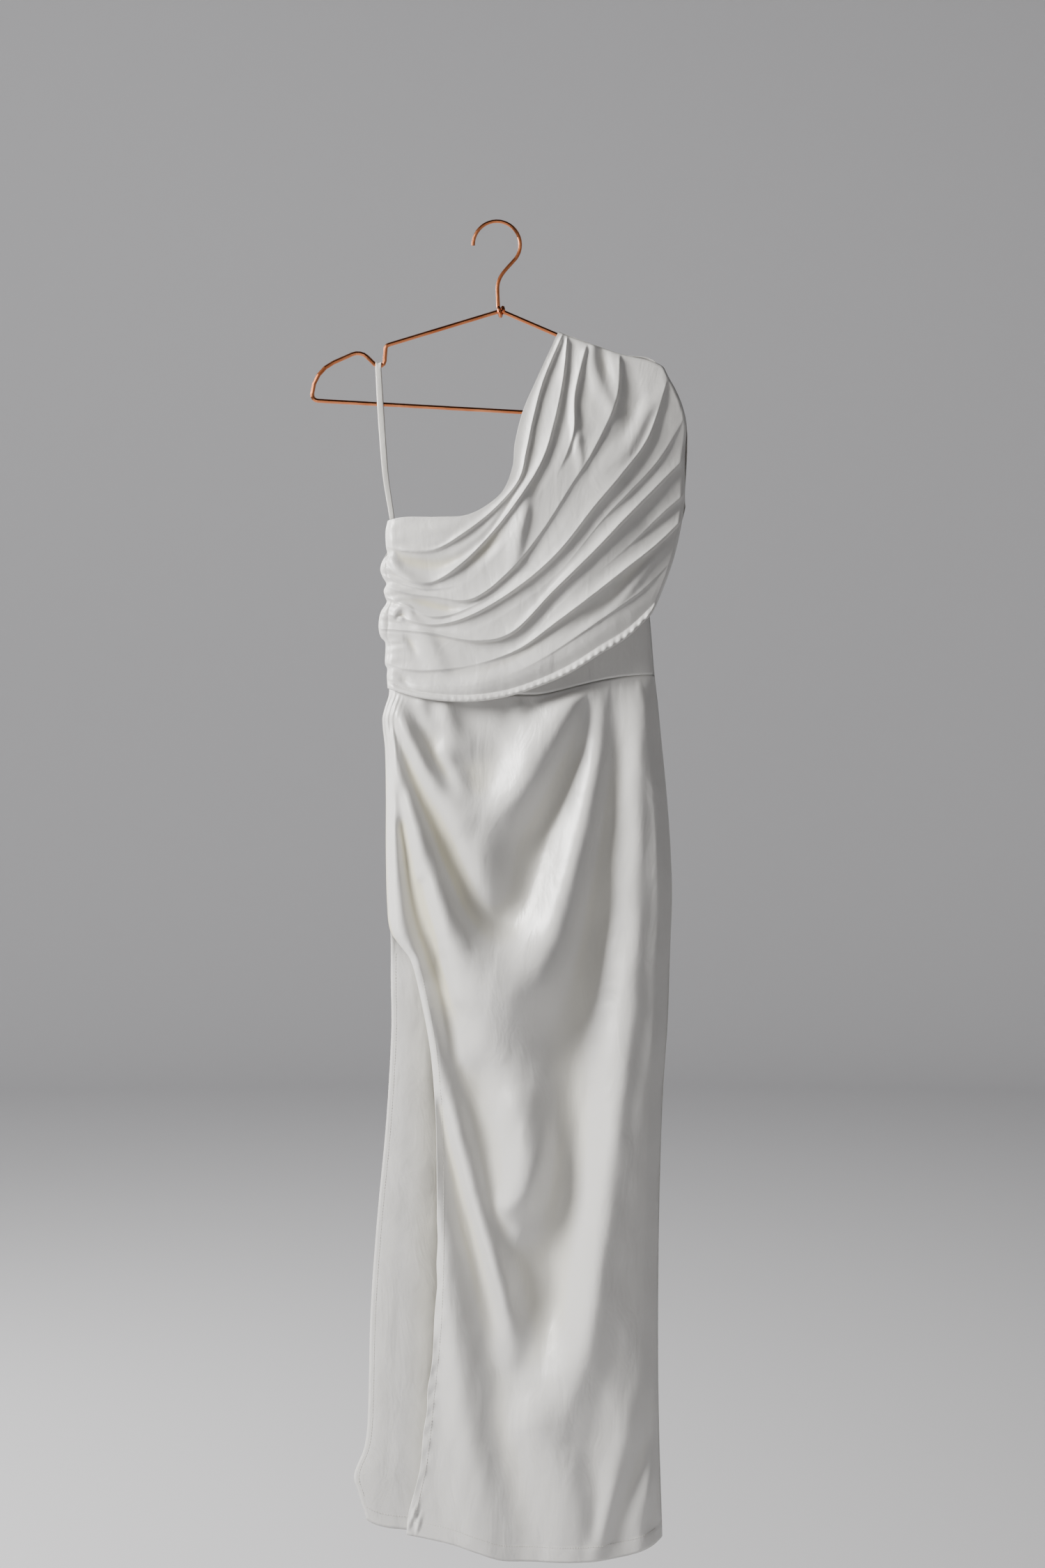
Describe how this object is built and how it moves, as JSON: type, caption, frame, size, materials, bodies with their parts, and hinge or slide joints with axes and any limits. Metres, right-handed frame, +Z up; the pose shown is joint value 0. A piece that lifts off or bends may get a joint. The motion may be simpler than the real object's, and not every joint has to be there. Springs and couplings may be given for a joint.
{
  "type": "one-shoulder dress on a wire hanger",
  "caption": "Full-length one-shoulder satin dress with a pleated drape, ruched side seam and side slit, hung flat from a copper-coloured wire hanger.",
  "frame": {"origin": "inside top of the hanger hook's crown, where a rail or wall hook carries the hanger", "axes": "+Z up, the dress front faces -Y, +X to the viewer's right, the shoulder with the drape on +X"},
  "size_m": [0.4359, 0.0675, 1.5347],
  "materials": {
    "hanger_frame": "polished copper-coloured plating",
    "hanger_hook": "polished copper-coloured plating",
    "hanger_loop": "narrow satin ribbon",
    "bodice_front": "ivory satin, soft gloss",
    "bodice_back": "ivory satin, soft gloss",
    "skirt_front": "ivory satin, soft gloss",
    "skirt_back": "ivory satin, matt inside",
    "drape_front": "ivory satin, soft gloss",
    "drape_back": "ivory satin, soft gloss"
  },
  "bodies": {
    "root": {"hanger_frame": "hanger_frame", "hanger_hook": "hanger_hook", "hanger_loop": "hanger_loop", "bodice_front": "bodice_front", "bodice_back": "bodice_back", "skirt_front": "skirt_front", "skirt_back": "skirt_back", "drape_front": "drape_front", "drape_back": "drape_back"}
  },
  "joints": []
}
